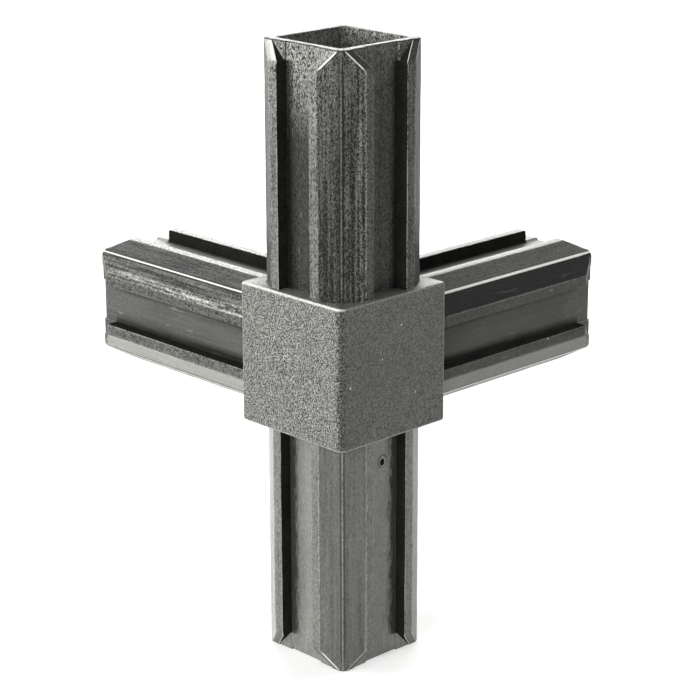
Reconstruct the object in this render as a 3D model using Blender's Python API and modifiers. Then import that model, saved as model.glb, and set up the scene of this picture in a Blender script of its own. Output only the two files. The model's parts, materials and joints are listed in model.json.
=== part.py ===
"""Square tube connector with four hollow, ribbed arms, moulded in one piece.

A cube hub, flush with the tube's outside, carries one arm up, one down and two level ones at a right angle.
Each arm is a thin square tube with a pair of raised ribs at every corner. Only the ribs' flat lands touch the
inside of the tube that is pushed on, up to the hub's shoulder.

The part stands on the end of its lower arm. Its origin is the bottom centre of its box.
"""
import math

import bmesh
import bpy
from mathutils import Matrix, Vector

MM = 0.001

# Square tube that is pushed onto each arm
TUBE_SIDE = 25.0 * MM
TUBE_WALL = 1.0 * MM
FIT_CLEARANCE = 0.05 * MM

# Arm
ARM_REACH = 42.0 * MM
ARM_WALL = 1.6 * MM
RIB_HEIGHT = 2.0 * MM
FACET_WIDTH = 3.75 * MM
LAND_WIDTH = 1.85 * MM
PANEL_SINK = 0.35 * MM
RIDGE_RADIUS = 0.8 * MM

# Tip of an arm
LEAD_IN_LENGTH = 3.6 * MM
TRIM_LENGTH = 3.3 * MM
TRIM_START = 2.4 * MM
RIM_CORNER_RADIUS = 1.2 * MM

# Bores
BORE_WEB = 2.0 * MM
BORE_DRAFT = math.radians(0.5)
BORE_CORNER_RADIUS = 0.7 * MM

# Hub: its upright edge between the two plain faces is rounder than the other three
HUB_FRONT_RADIUS = 1.5 * MM
HUB_UPRIGHT_RADIUS = 0.8 * MM
HUB_RIM_RADIUS = 0.5 * MM

# Gate mark of the mould, on the lower arm's -Y face, near the hub
GATE_DIAMETER = 2.0 * MM
GATE_DEPTH = 0.2 * MM
GATE_STUB_DIAMETER = 0.8 * MM
GATE_STUB_HEIGHT = 0.4 * MM
GATE_DROP = 5.3 * MM
GATE_OFFSET = 0.4 * MM

# Worked out from the sizes above
HUB_SIDE = TUBE_SIDE
LAND_SPAN = TUBE_SIDE - 2 * TUBE_WALL - 2 * FIT_CLEARANCE
CORE_SIDE = LAND_SPAN - 2 * RIB_HEIGHT
HALF_CORE = CORE_SIDE / 2
HALF_PANEL = HALF_CORE - FACET_WIDTH - LAND_WIDTH
BORE_MOUTH = CORE_SIDE - 2 * ARM_WALL
ARM_TIP = HUB_SIDE / 2 + ARM_REACH
HUB_CENTRE = Vector((-ARM_REACH / 2, -ARM_REACH / 2, ARM_TIP))

# How far a joined shape starts inside its neighbour, and a cutter runs past the surface it opens
ROOT = 1.5 * MM
OVERRUN = 1.0 * MM

ARC_STEP = math.radians(13)
WELD_DISTANCE = 1e-6
QUARTER_TURN = math.pi / 2

# Direction of each arm, as the turn that brings the upright arm to it
ARM_TURNS = {
    "upper": Matrix.Identity(4),
    "lower": Matrix.Rotation(math.pi, 4, "X"),
    "right_rear": Matrix.Rotation(QUARTER_TURN, 4, "Y"),
    "left_rear": Matrix.Rotation(-QUARTER_TURN, 4, "X"),
}
UPRIGHT_ARMS = ("upper", "lower")


def clear_scene():
    """Removes every object, so that the script can run again in the same file."""
    for obj in list(bpy.data.objects):
        bpy.data.objects.remove(obj, do_unlink=True)


def new_collection(name):
    """Links a new collection to the scene."""
    collection = bpy.data.collections.new(name)
    bpy.context.scene.collection.children.link(collection)
    return collection


def plastic_material():
    """Dark grey moulded plastic."""
    material = bpy.data.materials.new("dark_grey_plastic")
    material.use_nodes = True
    shader = material.node_tree.nodes["Principled BSDF"]
    shader.inputs["Base Color"].default_value = (0.075, 0.075, 0.070, 1.0)
    shader.inputs["Roughness"].default_value = 0.5
    shader.inputs["Metallic"].default_value = 0.0
    return material


def arc(centre, radius, start, end):
    """Points on an arc, counter-clockwise, at most ARC_STEP apart."""
    count = max(2, math.ceil((end - start) / ARC_STEP))
    angles = [start + (end - start) * i / count for i in range(count + 1)]
    return [(centre[0] + radius * math.cos(a), centre[1] + radius * math.sin(a)) for a in angles]


def turned_four_times(points):
    """Repeats one corner's points about the origin, a quarter turn at a time."""
    outline = []
    for _ in range(4):
        outline.extend(points)
        points = [(-y, x) for x, y in points]
    return outline


def rounded_square(side, radius):
    """Outline of a square with four alike round corners."""
    inset = side / 2 - radius
    return turned_four_times(arc((inset, inset), radius, 0.0, QUARTER_TURN))


def hub_outline():
    """Outline of the hub, with a rounder corner between its plain -X and -Y faces."""
    radii = [HUB_UPRIGHT_RADIUS] * 4
    radii[2] = HUB_FRONT_RADIUS
    outline = []
    for turn, radius in enumerate(radii):
        inset = HUB_SIDE / 2 - radius
        points = arc((inset, inset), radius, 0.0, QUARTER_TURN)
        for _ in range(turn):
            points = [(-y, x) for x, y in points]
        outline.extend(points)
    return outline


def ribbed_outline():
    """Section of an arm: sunk panels, and at each corner two ribs that meet on a rounded ridge."""
    land_level = HALF_CORE + RIB_HEIGHT
    panel_level = HALF_CORE - PANEL_SINK
    land_edge = HALF_CORE - FACET_WIDTH
    ridge_centre = HALF_CORE - RIDGE_RADIUS
    # The facet leaves the ridge's circle as the tangent through the land's edge
    to_edge = Vector((land_level - ridge_centre, land_edge - ridge_centre))
    tangent = math.atan2(to_edge.y, to_edge.x) + math.acos(RIDGE_RADIUS / to_edge.length)
    corner = [
        (panel_level, HALF_PANEL),
        (land_level, HALF_PANEL),
        (land_level, land_edge),
        *arc((ridge_centre, ridge_centre), RIDGE_RADIUS, tangent, QUARTER_TURN - tangent),
        (land_edge, land_level),
        (HALF_PANEL, land_level),
        (HALF_PANEL, panel_level),
    ]
    return turned_four_times(corner)


def close_ends(mesh):
    """Welds a curve's walls, closes both ends with one flat face each and turns the faces out."""
    shape = bmesh.new()
    shape.from_mesh(mesh)
    bmesh.ops.remove_doubles(shape, verts=shape.verts, dist=WELD_DISTANCE)
    bmesh.ops.holes_fill(shape, edges=[edge for edge in shape.edges if edge.is_boundary])
    bmesh.ops.recalc_face_normals(shape, faces=shape.faces)
    shape.to_mesh(mesh)
    shape.free()


def add_object(name, mesh, collection, location=(0, 0, 0)):
    """Adds a mesh object to a collection."""
    obj = bpy.data.objects.new(name, mesh)
    obj.location = location
    collection.objects.link(obj)
    return obj


def evaluated_mesh(obj):
    """A new mesh of the object as its modifiers leave it."""
    bpy.context.view_layer.update()
    depsgraph = bpy.context.evaluated_depsgraph_get()
    return bpy.data.meshes.new_from_object(obj.evaluated_get(depsgraph), depsgraph=depsgraph)


def prism(name, outline, bottom, top, collection):
    """Extrudes a flat outline along Z between two heights and makes it a mesh with closed ends."""
    curve = bpy.data.curves.new(name, "CURVE")
    curve.dimensions = "2D"
    curve.fill_mode = "NONE"
    curve.extrude = (top - bottom) / 2
    spline = curve.splines.new("POLY")
    spline.points.add(len(outline) - 1)
    for point, (x, y) in zip(spline.points, outline):
        point.co = (x, y, 0.0, 1.0)
    spline.use_cyclic_u = True
    flat = add_object(name + "_outline", curve, collection, (0, 0, (top + bottom) / 2))
    mesh = evaluated_mesh(flat)
    mesh.name = name
    mesh.transform(flat.matrix_world)
    close_ends(mesh)
    bpy.data.objects.remove(flat, do_unlink=True)
    return add_object(name, mesh, collection)


def taper(obj, height, factor):
    """Scales the vertices at one height about the Z axis."""
    for vertex in obj.data.vertices:
        if abs(vertex.co.z - height) < WELD_DISTANCE:
            vertex.co.x *= factor
            vertex.co.y *= factor


def boolean(target, tool, operation):
    """Adds an exact Boolean modifier."""
    modifier = target.modifiers.new(f"{operation.lower()} {tool.name}", "BOOLEAN")
    modifier.operation = operation
    modifier.solver = "EXACT"
    modifier.object = tool


def tip_sleeve(cutters):
    """Space that the tip's lead-in slopes leave: from the lands' span down to the bare core at the rim."""
    growth = LAND_SPAN / CORE_SIDE
    outline = rounded_square(LAND_SPAN, RIM_CORNER_RADIUS * growth)
    sleeve = prism("tip_sleeve", outline, ARM_TIP - LEAD_IN_LENGTH, ARM_TIP, cutters)
    taper(sleeve, ARM_TIP, 1 / growth)
    return sleeve


def trim_cutter(cutters):
    """Wedge that widens the panel towards the rim, down to the core's face."""
    slope = (HALF_CORE - TRIM_START - HALF_PANEL) / TRIM_LENGTH
    low = ARM_TIP - TRIM_LENGTH - OVERRUN
    high = ARM_TIP + OVERRUN
    low_half = HALF_PANEL - slope * OVERRUN
    high_half = HALF_CORE - TRIM_START + slope * OVERRUN
    outline = [(-low_half, low), (low_half, low), (high_half, high), (-high_half, high)]
    cutter = prism("trim_cutter", outline, HALF_CORE, HALF_CORE + RIB_HEIGHT + OVERRUN, cutters)
    # The outline is drawn in the face's own plane, so it is stood up against that face
    cutter.data.transform(Matrix.Rotation(QUARTER_TURN, 4, "X"))
    return cutter


def arm_mesh(cutters):
    """One arm, upright above the hub, with its lead-in and trimmed ribs."""
    outline = ribbed_outline()
    shank_top = ARM_TIP - LEAD_IN_LENGTH
    arm = prism("arm_shank", outline, HUB_SIDE / 2 - ROOT, shank_top, cutters)
    tip = prism("arm_tip", outline, shank_top - ROOT, ARM_TIP + OVERRUN, cutters)
    boolean(tip, tip_sleeve(cutters), "INTERSECT")
    boolean(arm, tip, "UNION")
    wedge = trim_cutter(cutters)
    for side in range(4):
        cutter = add_object(f"trim_cutter_{side + 1}", wedge.data, cutters)
        cutter.rotation_euler.z = side * QUARTER_TURN
        boolean(arm, cutter, "DIFFERENCE")
    bpy.data.objects.remove(wedge, do_unlink=True)
    mesh = evaluated_mesh(arm)
    mesh.name = "arm"
    return mesh


def bore_floor(arm_name):
    """Height of a bore's floor above the hub's centre, along its own arm."""
    if arm_name in UPRIGHT_ARMS:
        return BORE_WEB / 2
    return BORE_MOUTH / 2 + BORE_WEB


def bore_mesh(name, floor, cutters):
    """Square bore with drafted walls, narrowest at its floor."""
    top = ARM_TIP + OVERRUN
    top_side = BORE_MOUTH + 2 * OVERRUN * math.tan(BORE_DRAFT)
    floor_side = BORE_MOUTH - 2 * (ARM_TIP - floor) * math.tan(BORE_DRAFT)
    bore = prism(name, rounded_square(top_side, BORE_CORNER_RADIUS), floor, top, cutters)
    taper(bore, floor, floor_side / top_side)
    return bore


def hub_object(parts):
    """Cube hub with rounded upright edges and a small radius round its top and bottom."""
    hub = prism("connector_body", hub_outline(), -HUB_SIDE / 2, HUB_SIDE / 2, parts)
    bevel = hub.modifiers.new("rim radius", "BEVEL")
    bevel.limit_method = "ANGLE"
    bevel.angle_limit = math.radians(60)
    bevel.width = HUB_RIM_RADIUS
    bevel.segments = 3
    return hub


def gate_mark(hub, axis, cutters):
    """Shallow round dish with a broken-off stub, where the plastic entered the mould."""
    panel = -(HALF_CORE - PANEL_SINK)
    height = -(HUB_SIDE / 2 + GATE_DROP)
    dish_floor = panel + GATE_DEPTH
    pieces = (
        ("gate_dish", GATE_DIAMETER, panel - OVERRUN, dish_floor, "DIFFERENCE"),
        ("gate_stub", GATE_STUB_DIAMETER, dish_floor - GATE_STUB_HEIGHT, dish_floor + ARM_WALL / 4, "UNION"),
    )
    for name, diameter, outer, inner, operation in pieces:
        mesh = bpy.data.meshes.new(name)
        shape = bmesh.new()
        bmesh.ops.create_cone(shape, cap_ends=True, segments=20, radius1=diameter / 2, radius2=diameter / 2,
                              depth=inner - outer, matrix=Matrix.Rotation(QUARTER_TURN, 4, "X"))
        shape.to_mesh(mesh)
        shape.free()
        tool = add_object(name, mesh, cutters, (GATE_OFFSET, (inner + outer) / 2, height))
        tool.parent = axis
        boolean(hub, tool, operation)


def build():
    """Builds the connector as one closed body."""
    clear_scene()
    parts = new_collection("square_tube_connector")
    cutters = new_collection("cutters")
    axis = bpy.data.objects.new("hub_centre", None)
    axis.location = HUB_CENTRE
    parts.objects.link(axis)

    body = hub_object(parts)
    body.parent = axis
    arm_shape = arm_mesh(cutters)
    for name, turn in ARM_TURNS.items():
        arm = add_object(f"{name}_arm", arm_shape, cutters)
        arm.parent = axis
        arm.matrix_local = turn
        boolean(body, arm, "UNION")
    for name, turn in ARM_TURNS.items():
        bore = bore_mesh(f"{name}_bore", bore_floor(name), cutters)
        bore.parent = axis
        bore.matrix_local = turn
        boolean(body, bore, "DIFFERENCE")
    gate_mark(body, axis, cutters)
    body.data.materials.append(plastic_material())
    for tool in cutters.objects:
        tool.hide_render = True
        tool.display_type = "WIRE"


build()
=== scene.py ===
"""Look of a moulded square tube connector: a cube hub, four ribbed hollow arms and the mould's gate mark.

Lengths in the pieces' classes are millimetres about the hub's centre. Each mesh is turned into the frame's metres as
whole arrays, and every finished piece stands at the origin. Lengths in the finishes are metres, as in Object
coordinates.
"""

import json
import logging
import math
from dataclasses import dataclass
from enum import Enum

import bpy
import numpy as np
from bpy.types import Material, NodeSocket, NodeTree, Object
from mathutils import Matrix, Vector

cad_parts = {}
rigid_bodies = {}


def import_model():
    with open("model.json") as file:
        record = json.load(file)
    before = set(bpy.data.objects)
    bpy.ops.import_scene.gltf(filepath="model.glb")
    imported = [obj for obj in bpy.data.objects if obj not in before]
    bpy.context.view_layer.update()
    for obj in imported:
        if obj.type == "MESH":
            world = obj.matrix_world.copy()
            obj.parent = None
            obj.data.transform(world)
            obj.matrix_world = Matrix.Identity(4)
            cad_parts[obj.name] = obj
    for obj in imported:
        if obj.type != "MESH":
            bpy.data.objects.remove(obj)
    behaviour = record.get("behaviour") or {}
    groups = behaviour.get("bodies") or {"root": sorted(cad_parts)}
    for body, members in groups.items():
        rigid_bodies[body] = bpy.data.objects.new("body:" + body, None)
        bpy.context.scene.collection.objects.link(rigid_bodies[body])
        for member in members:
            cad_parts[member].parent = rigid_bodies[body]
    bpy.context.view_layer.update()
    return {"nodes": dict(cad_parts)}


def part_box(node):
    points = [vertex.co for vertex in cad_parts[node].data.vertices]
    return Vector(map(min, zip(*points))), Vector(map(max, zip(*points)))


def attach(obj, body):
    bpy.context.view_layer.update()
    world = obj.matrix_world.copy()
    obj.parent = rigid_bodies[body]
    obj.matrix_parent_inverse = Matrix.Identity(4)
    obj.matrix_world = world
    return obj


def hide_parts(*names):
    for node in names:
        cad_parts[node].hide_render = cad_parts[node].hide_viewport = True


LOG = logging.getLogger("square_tube_connector")
CAD_NODE = "connector_body"
MM = 0.001
QUARTER = math.pi / 2
WHITE_LIGHT = (1, 1, 1, 1)

# Points on each rounded corner of an arm's section, and on the flat middle of its face.
CURVE_POINTS = 5
# Mean value of the painted shade mask from which a face takes the rib walls' painted shade finish.
PAINTED_SHADE_FROM = 0.8
# Columns of the half corner: 5 on the flat, 5 at each of 5 bends, 3 on the facet and 6 on the ridge.
HALF_COLUMNS = 39
# Those of the rib's inner wall, from the bend at its foot to the one at its head.
WALL_COLUMNS = slice(16, 23)
# Share of its own tone below which texture never darkens a surface.
DARKEST = 0.12
# Tone of the bright specks, and their radius as a share of a cell.
SPECK_TONE = 0.95
SPECK_SIZE = 0.055


class ArmSide(Enum):
    """Way an arm points from the hub's centre, with the turn that brings an upright arm to it."""

    UPPER = ("upper_arm", ((1, 0, 0), (0, 1, 0), (0, 0, 1)))
    LOWER = ("lower_arm", ((1, 0, 0), (0, -1, 0), (0, 0, -1)))
    RIGHT_REAR = ("right_rear_arm", ((0, 0, 1), (0, 1, 0), (-1, 0, 0)))
    LEFT_REAR = ("left_rear_arm", ((1, 0, 0), (0, 0, 1), (0, -1, 0)))

    @property
    def piece(self) -> str:
        """Name of the arm's piece."""
        return self.value[0]

    @property
    def turn(self) -> np.ndarray:
        """Rotation from the upright arm to this one, as a 3 by 3 array."""
        return np.array(self.value[1], float)

    @property
    def upright(self) -> bool:
        """Whether the arm stands along the Z axis."""
        return self in (ArmSide.UPPER, ArmSide.LOWER)


class Mask(Enum):
    """Part of the surface that a finish treats in its own way, stored as one value a point."""

    FACET = "facet"
    LAND = "land"
    # Painted shade on and beside the ribs' inner walls, and in the gate mark's pit.
    RECESS = "recess"
    # Arms' ridges, rims' outer rounding and the gate mark's groove: painted highlight and painted shade.
    RIDGE = "ridge"
    # Pale edges and rib ends: wear and painted highlights.
    EDGE = "edge"
    # Painted highlight on the arms' facets, and painted reflection on the hub's upper corners.
    BAND = "band"
    RUN = "run"
    # Inside of the bore, made paler there as painted light.
    BORE = "bore"
    # Hub's sides along X: coarser grain there, and painted shade on the sides along Y.
    GRAIN = "grain"
    # Hub's front edge, on which shade is painted.
    FRONT = "front"


Masks = dict[Mask, np.ndarray]
Pair = tuple[float, float]
Triple = tuple[float, float, float]


def add_object(name: str, data: bpy.types.ID) -> Object:
    """Makes an object of the data and adds it to the scene."""
    thing = bpy.data.objects.new(name, data)
    bpy.context.scene.collection.objects.link(thing)
    return thing


@dataclass
class Skin:
    """A surface held as arrays, in millimetres about the hub's centre.

    Args:
        points: One row of three coordinates a point.
        quads: One row of four point numbers a face.
        masks: One value a point for each mask that the surface carries.
    """

    points: np.ndarray
    quads: np.ndarray
    masks: Masks

    @classmethod
    def from_grid(cls, sheet: np.ndarray, masks: Masks) -> "Skin":
        """Turns a grid of points into a surface, with a face in each cell and the last column joined to the first.

        Args:
            sheet: Points as rows by columns by three.
            masks: Values as rows by columns for each mask.

        Returns:
            The surface, facing outwards where columns run anticlockwise about the way in which the rows go.
        """
        rows, columns = sheet.shape[:2]
        index = np.arange(rows * columns).reshape(rows, columns)
        index = np.concatenate([index, index[:, :1]], axis=1)
        corners = (index[:-1, :-1], index[:-1, 1:], index[1:, 1:], index[1:, :-1])
        quads = np.stack(corners, axis=-1).reshape(-1, 4)
        return cls(sheet.reshape(-1, 3), quads, {mask: values.ravel() for mask, values in masks.items()})

    def turned(self, turn: np.ndarray) -> "Skin":
        """The surface turned about the hub's centre by a 3 by 3 rotation."""
        return Skin(self.points @ turn.T, self.quads, self.masks)

    def as_piece(self, name: str, centre: Vector, skin: Material,
                 shade: Material | None = None) -> Object:
        """Makes the surface a smooth-shaded mesh piece at the origin, with its place in its mesh.

        Args:
            name: The piece's name.
            centre: The hub's centre in the frame, in metres.
            skin: The piece's finish.
            shade: Finish of the faces in the recesses, a painted shade, if it has such faces.

        Returns:
            The new piece, riding on the connector's one body.
        """
        mesh = bpy.data.meshes.new(name)
        mesh.vertices.add(len(self.points))
        mesh.vertices.foreach_set("co", (self.points * MM + np.array(centre)).astype(np.float32).ravel())
        mesh.loops.add(self.quads.size)
        mesh.loops.foreach_set("vertex_index", self.quads.ravel().astype(np.int32))
        mesh.polygons.add(len(self.quads))
        mesh.polygons.foreach_set("loop_start", np.arange(0, self.quads.size, 4, dtype=np.int32))
        mesh.polygons.foreach_set("use_smooth", np.ones(len(self.quads), bool))
        mesh.materials.append(skin)
        if shade is not None:
            mesh.materials.append(shade)
            # Faces deep in the painted shade mask take the rib walls' painted shade finish.
            deep = self.masks[Mask.RECESS][self.quads].mean(axis=1) > PAINTED_SHADE_FROM
            mesh.polygons.foreach_set("material_index", deep.astype(np.int32))
        for mask, values in self.masks.items():
            layer = mesh.attributes.new(mask.value, "FLOAT", "POINT")
            layer.data.foreach_set("value", values.astype(np.float32))
        mesh.update(calc_edges=True)
        mesh.validate()
        piece = add_object(name, mesh)
        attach(piece, "root")
        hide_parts(CAD_NODE)
        LOG.info("%s: %d points, %d faces", name, len(self.points), len(self.quads))
        return piece


def rounded_path(corners: np.ndarray, reach: tuple[float, ...], leg_share: float = 0.45) -> np.ndarray:
    """Rounds the inner corners of a path with quadratic curves.

    Each corner P becomes the curve (1-t)^2 A + 2t(1-t) P + t^2 B, where A and B lie on the path's two legs.

    Args:
        corners: Corners as rows by corners by two; the first and last stay out of the result.
        reach: Wanted distance from each inner corner to the curve's ends A and B.
        leg_share: Greatest distance, as a share of the shorter leg.

    Returns:
        Curve points as rows by (corners-2) by points on a curve by two.
    """
    before = corners[:, :-2] - corners[:, 1:-1]
    after = corners[:, 2:] - corners[:, 1:-1]
    length_before = np.linalg.norm(before, axis=-1)
    length_after = np.linalg.norm(after, axis=-1)
    size = np.minimum(reach, leg_share * np.minimum(length_before, length_after))[..., None]
    start = corners[:, 1:-1] + before / length_before[..., None] * size
    end = corners[:, 1:-1] + after / length_after[..., None] * size
    t = np.linspace(0, 1, CURVE_POINTS)[:, None]
    middle = corners[:, 1:-1, None]
    return (1 - t) ** 2 * start[:, :, None] + 2 * t * (1 - t) * middle + t**2 * end[:, :, None]


def onto_square(points: np.ndarray, half: float, radius: float) -> np.ndarray:
    """Slides points of an outline in to a rounded square inside it.

    The smaller coordinate shrinks so that the outline's diagonal meets the square's, and the larger one follows the
    square's side, or its corner arc: side = c + sqrt(r^2 - (small - c)^2), with c the arc's centre.

    Args:
        points: Outline points, in the last axis.
        half: Half the square's side.
        radius: Radius of its corners.

    Returns:
        One point on the square for each given point.
    """
    size = np.abs(points)
    small = size.min(axis=-1)
    centre = half - radius
    diagonal = centre + radius / math.sqrt(2)
    small = np.minimum(small * diagonal / small.max(), diagonal)
    over = np.maximum(small - centre, 0)
    large = centre + np.sqrt(np.maximum(radius**2 - over**2, 0))
    x_leads = size[..., 0] >= size[..., 1]
    result = np.where(x_leads[..., None], np.stack([large, small], -1), np.stack([small, large], -1))
    return result * np.where(points < 0, -1.0, 1.0)


class Part:
    """A sub-assembly that is one piece."""

    piece: str

    def surface(self) -> Skin:
        """The piece's surface."""
        raise NotImplementedError

    def build(self, centre: Vector, *finishes: Material) -> Object:
        """Makes the piece with its finish and, where it has recesses, with the rib walls' painted shade."""
        return self.surface().as_piece(self.piece, centre, *finishes)


@dataclass
class RibbedArm(Part):
    """A hollow arm: its section is carried along the axis, over the rim and down the bore as one closed surface.

    Heights are along the arm from the hub's centre, and the section's sizes are half widths from the arm's axis.

    Args:
        side: Way the arm points.
        tip: Height of the arm's end, and shoulder of the hub's face.
        core: The tube without its ribs, and panel the sunk face between the ribs, half_panel wide.
        land: The ribs' flat lands, which end at land_edge beside the facets and slope down over lead_in at the tip.
        trim_length: Length over which the ribs' inner walls move out to trim_half.
        wall_step: Half of the step at a rib's foot, which goes where the wall has moved by step_fade.
        rounds: Reach of the rounding at the section's corners, from the panel's edge to the facet's foot.
        level_floor: Height of the bore's floor in the level arms, and upright_floor in the others.
        foot_depth: How far the foot goes down past the floor, and foot_root how far past the shoulder.
    """

    side: ArmSide
    tip: float = 54.5
    shoulder: float = 12.5
    core: float = 9.45
    panel: float = 9.1
    half_panel: float = 3.85
    land: float = 11.45
    land_edge: float = 5.7
    ridge_radius: float = 0.8
    lead_in: float = 3.6
    tip_step: float = 0.05
    trim_length: float = 3.3
    trim_half: float = 7.05
    wall_step: float = 0.15
    step_fade: float = 0.3
    rounds: tuple[float, ...] = (0.22, 0.06, 0.12, 0.16, 0.3)
    facet_shares: tuple[float, ...] = (0.16, 0.5, 0.9)
    bore_half: float = 7.85
    bore_corner: float = 0.7
    bore_draft: float = math.tan(math.radians(0.5))
    upright_floor: float = 1.0
    level_floor: float = 9.85
    foot_depth: float = 1.5
    foot_root: float = 0.6
    foot_fillet: float = 0.25
    rim_outer_radius: float = 0.22
    rim_inner_radius: float = 0.18
    waviness: float = 0.012
    shaft_rows: int = 40
    tip_rows: int = 12
    bore_rows: int = 14

    @property
    def piece(self) -> str:
        """Name of the arm's piece."""
        return self.side.piece

    @property
    def floor(self) -> float:
        """Height of the bore's floor above the hub's centre."""
        return self.upright_floor if self.side.upright else self.level_floor

    def half_corner(self, z: np.ndarray) -> tuple[np.ndarray, Masks]:
        """Half of one corner of the section at each height, from a face's middle to the ridge.

        The land's level falls in a straight line over the lead-in, the rib's inner wall moves outwards in a straight
        line over the trim, and the facet always runs to the tangent of the ridge's circle.

        Args:
            z: Heights above the hub's centre.

        Returns:
            Points as heights by columns by two, and the masks' values for the columns.
        """
        up = np.clip((z - (self.tip - self.lead_in)) / self.lead_in, 0, 1)
        level = self.land + (self.core + self.tip_step - self.land) * up
        trim = np.clip((z - (self.tip - self.trim_length)) / self.trim_length, 0, 1)
        wall = self.half_panel + (self.trim_half - self.half_panel) * trim
        step = self.wall_step * np.clip(1 - (wall - self.half_panel) / self.step_fade, 0, 1)
        centre = self.core - self.ridge_radius
        reach = math.hypot(self.land - centre, self.land_edge - centre)
        tangent = math.atan2(self.land_edge - centre, self.land - centre) + math.acos(self.ridge_radius / reach)
        angles = np.linspace(tangent, QUARTER / 2, 6)
        arc = centre + self.ridge_radius * np.stack([np.cos(angles), np.sin(angles)], -1)
        slope = (arc[0, 1] - self.land_edge) / (self.land - arc[0, 0])
        edge = self.land_edge + (self.land - level) * slope
        path = ((self.panel, 0), (self.panel, self.half_panel), (self.core - step, self.half_panel),
                (self.core + step, wall), (level, wall), (level, edge), arc[0])
        corners = np.stack([np.stack(np.broadcast_arrays(x, y, z)[:2], -1) for x, y in path], axis=1)
        curves = rounded_path(corners, self.rounds)
        spread = np.linspace(0, 0.9, CURVE_POINTS)[None, :, None]
        flat = corners[:, :1] + (corners[:, 1:2] - corners[:, :1]) * spread
        facet = corners[:, 5:6] + (corners[:, 6:7] - corners[:, 5:6]) * np.array(self.facet_shares)[None, :, None]
        ridge = np.broadcast_to(arc, (len(z), *arc.shape))
        points = np.concatenate([flat, curves.reshape(len(z), -1, 2), facet, ridge], axis=1)
        return points, self.half_masks(z)

    def half_masks(self, z: np.ndarray) -> Masks:
        """Masks of the half corner.

        The mask of painted shade has the rib's wall and, up to where the wall is trimmed, the wall's foot and the
        panel beside it.

        Args:
            z: Heights above the hub's centre.

        Returns:
            Values as heights by columns for each mask.
        """
        def row(start: int, *values: float) -> np.ndarray:
            """The half corner's columns with values from one of them on, and zero in the others."""
            columns = np.zeros(HALF_COLUMNS)
            columns[start:start + len(values)] = values
            return columns

        trimmed = np.clip((z - (self.tip - self.trim_length)) / 0.2, 0, 1)[:, None]
        # Painted shade at the wall's foot and on the panel beside it, then on the wall itself.
        foot = row(2, 0.1, 0.35, 0.65, 0.7, 0.75, 0.8, 0.9, *[1] * 8)
        wall = row(17, 1, 1, 1, 1, 0.9, 0.4)
        rows = {Mask.LAND: row(21, 0.6, 1, 1, 1, 1, 0.8, 0.4, 0.1), Mask.EDGE: row(21, 1, 1, 0.8, 0, 0, 0.5, 0.8, 0.5),
                Mask.FACET: row(26, 0.2, 0.6, 0.9, *[1] * 10), Mask.RIDGE: row(33, 0.6, 0.7, 0.8, 0.9, 1, 1),
                Mask.BAND: row(26, 0.2, 0.6, 1, 1, 1)}
        masks = {mask: np.broadcast_to(columns, (len(z), len(columns))) for mask, columns in rows.items()}
        return masks | {Mask.RECESS: foot * (1 - trimmed) + wall}

    def section(self, z: np.ndarray) -> tuple[np.ndarray, Masks]:
        """The whole section at each height: the half corner, its mirror image, and their four quarter turns.

        Args:
            z: Heights above the hub's centre.

        Returns:
            Points as heights by columns by two, anticlockwise, and the masks' values for the columns.
        """
        half, values = self.half_corner(z)
        corner = np.concatenate([half, half[:, -2:0:-1, ::-1]], axis=1)
        turns = [corner]
        for _ in range(3):
            turns.append(np.stack([-turns[-1][..., 1], turns[-1][..., 0]], -1))
        masks = {}
        for mask, rows in values.items():
            first, second = rows, rows[:, -2:0:-1]
            if mask is Mask.BAND:
                first, second = first * self.band_first, second * (not self.band_first)
            masks[mask] = np.tile(np.concatenate([first, second], axis=1), (1, 4))
        # Pale_cuts ribs: painted highlight on the trimmed end; the wall's painted shade is lifted unless kept dark.
        cut = z[:, None] > self.tip - self.trim_length + 0.1
        for quarter, second_half, dark_wall, first_pale, last_pale, level in self.pale_cuts:
            columns = np.arange(len(values[Mask.RECESS][0]))
            place = quarter * corner.shape[1] + (corner.shape[1] - columns if second_half else columns)
            masks[Mask.RECESS][:, place[WALL_COLUMNS]] *= ~cut | dark_wall
            pale = place[first_pale:last_pale]
            masks[Mask.EDGE][:, pale] = np.maximum(masks[Mask.EDGE][:, pale], cut * level)
        return np.concatenate(turns, axis=1), masks

    @property
    def pale_cuts(self) -> tuple[tuple[int, bool, bool, int, int, float], ...]:
        """Ribs with a pale end, a painted highlight.

        Returns:
            For each such rib its corner's number, anticlockwise, whether it is the corner's second rib, whether its
            inner wall keeps its painted shade, the first and the end of its pale columns, and how pale they are.
        """
        cuts = {ArmSide.UPPER: ((2, False, False, 26, 29, 1.0), (2, True, False, 26, 28, 1.0),
                                (1, True, True, 24, 27, 0.55), (1, True, True, 24, 25, 0.9)),
                ArmSide.LOWER: ((1, True, False, 26, 29, 1.0),),
                ArmSide.RIGHT_REAR: ((1, True, False, 5, 23, 1.0),),
                ArmSide.LEFT_REAR: ((3, False, False, 5, 23, 1.0),)}
        return cuts[self.side]

    @property
    def band_first(self) -> bool:
        """Whether the pale band, a painted highlight, lies on the first facet of each corner, not on the second."""
        return self.side is ArmSide.LEFT_REAR

    def wave(self, z: np.ndarray, columns: int) -> np.ndarray:
        """Faint unevenness of the moulded wall, outwards: a sum of slow sines along the arm and round its columns."""
        angle = np.linspace(0, 2 * math.pi, columns, endpoint=False)[None, :]
        along = z[:, None]
        shift = float(len(self.side.piece))
        total = np.sin(0.55 * along + 3 * angle + shift) + 0.7 * np.sin(1.3 * along - 5 * angle + 2 * shift)
        return self.waviness * total

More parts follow.
